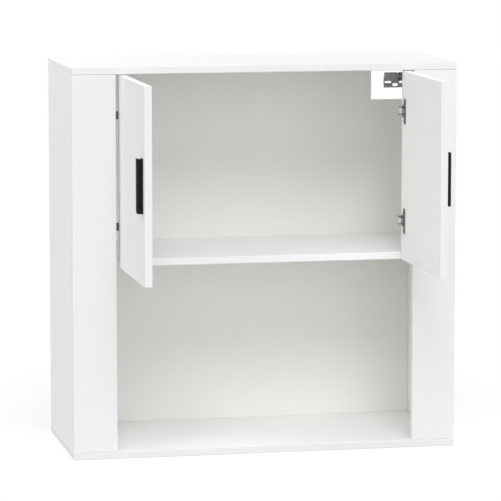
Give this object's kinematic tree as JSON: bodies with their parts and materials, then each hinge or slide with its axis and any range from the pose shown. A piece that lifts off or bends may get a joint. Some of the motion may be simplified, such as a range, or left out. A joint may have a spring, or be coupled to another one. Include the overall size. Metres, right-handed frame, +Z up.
{
  "type": "hanging wall cabinet",
  "caption": "Square white wall cabinet with inset doors on cup hinges, open compartment below, bar handles and height-adjustable wall hangers.",
  "frame": {"origin": "middle of the wall face: mid-width and mid-height of the cabinet, on the plane of the wall", "axes": "+Y into the wall, so the front faces -Y; +Z up; +X to the right of someone who faces the cabinet"},
  "size_m": [0.8, 0.6205, 0.8],
  "materials": {
    "white_board": "particle board with high-gloss white foil and edge bands",
    "back_board": "thin fibreboard with a white lacquer film",
    "hinge_steel": "nickel-plated pressed steel",
    "screw_steel": "zinc-plated screws",
    "hanger_steel": "galvanised pressed steel",
    "black_handle": "matt black coated profile",
    "white_plastic": "moulded white caps and hanger housings",
    "cam_zinc": "die-cast zinc alloy",
    "beech": "fluted beech, drawn plain"
  },
  "bodies": {
    "carcass": {"arm_screws": "screw_steel", "back_panel": "back_board", "back_panel_nails": "screw_steel", "bottom_board": "white_board", "cam_bolts": "screw_steel", "cam_covers": "white_plastic", "cam_locks": "cam_zinc", "dowels": "beech", "housing_screws": "screw_steel", "left_hanger_housing": "white_plastic", "left_lower_hinge_arm": "hinge_steel", "left_lower_mounting_plate": "hinge_steel", "left_side_panel": "white_board", "left_stile": "white_board", "left_upper_hinge_arm": "hinge_steel", "left_upper_mounting_plate": "hinge_steel", "plate_screws": "screw_steel", "right_hanger_housing": "white_plastic", "right_lower_hinge_arm": "hinge_steel", "right_lower_mounting_plate": "hinge_steel", "right_side_panel": "white_board", "right_stile": "white_board", "right_upper_hinge_arm": "hinge_steel", "right_upper_mounting_plate": "hinge_steel", "shelf": "white_board", "top_board": "white_board"},
    "left_door": {"left_door": "white_board", "left_handle": "black_handle", "left_handle_screws": "screw_steel", "left_handle_screw_caps": "white_plastic", "left_upper_hinge_cup": "hinge_steel", "left_lower_hinge_cup": "hinge_steel", "left_hinge_pins": "hinge_steel", "left_flange_screws": "screw_steel"},
    "left_hanger": {"left_hanger_hook": "hanger_steel", "left_wall_plate": "hanger_steel"},
    "left_height_screw": {"left_height_screw": "screw_steel"},
    "right_door": {"right_door": "white_board", "right_handle": "black_handle", "right_handle_screws": "screw_steel", "right_handle_screw_caps": "white_plastic", "right_upper_hinge_cup": "hinge_steel", "right_lower_hinge_cup": "hinge_steel", "right_hinge_pins": "hinge_steel", "right_flange_screws": "screw_steel"},
    "right_hanger": {"right_hanger_hook": "hanger_steel", "right_wall_plate": "hanger_steel"},
    "right_height_screw": {"right_height_screw": "screw_steel"}
  },
  "joints": [
    {"name": "left_door_swing", "type": "hinge", "parent": "carcass", "child": "left_door", "pos_m": [-0.2973, -0.3245, 0.18775], "axis": [0, 0, -1], "range_deg": [-90, 5]},
    {"name": "left_hook_height", "type": "slide", "parent": "carcass", "child": "left_hanger", "axis": [0, 0, 1], "range_m": [-0.004, 0.004]},
    {"name": "left_height_screw_turn", "type": "hinge", "parent": "carcass", "child": "left_height_screw", "pos_m": [-0.37925, -0.0415, 0.318], "axis": [0, 0, 1], "range_deg": [-1442, 1442]},
    {"name": "right_door_swing", "type": "hinge", "parent": "carcass", "child": "right_door", "pos_m": [0.2973, -0.3245, 0.18775], "axis": [0, 0, 1], "range_deg": [-90, 5]},
    {"name": "right_hook_height", "type": "slide", "parent": "carcass", "child": "right_hanger", "axis": [0, 0, 1], "range_m": [-0.004, 0.004]},
    {"name": "right_height_screw_turn", "type": "hinge", "parent": "carcass", "child": "right_height_screw", "pos_m": [0.37925, -0.0415, 0.318], "axis": [0, 0, 1], "range_deg": [-1442, 1442]}
  ],
  "couplings": [
    {"joint": "left_height_screw_turn", "follows": "left_hook_height", "rad_per_m": -6283.2},
    {"joint": "right_height_screw_turn", "follows": "right_hook_height", "rad_per_m": -6283.2}
  ]
}
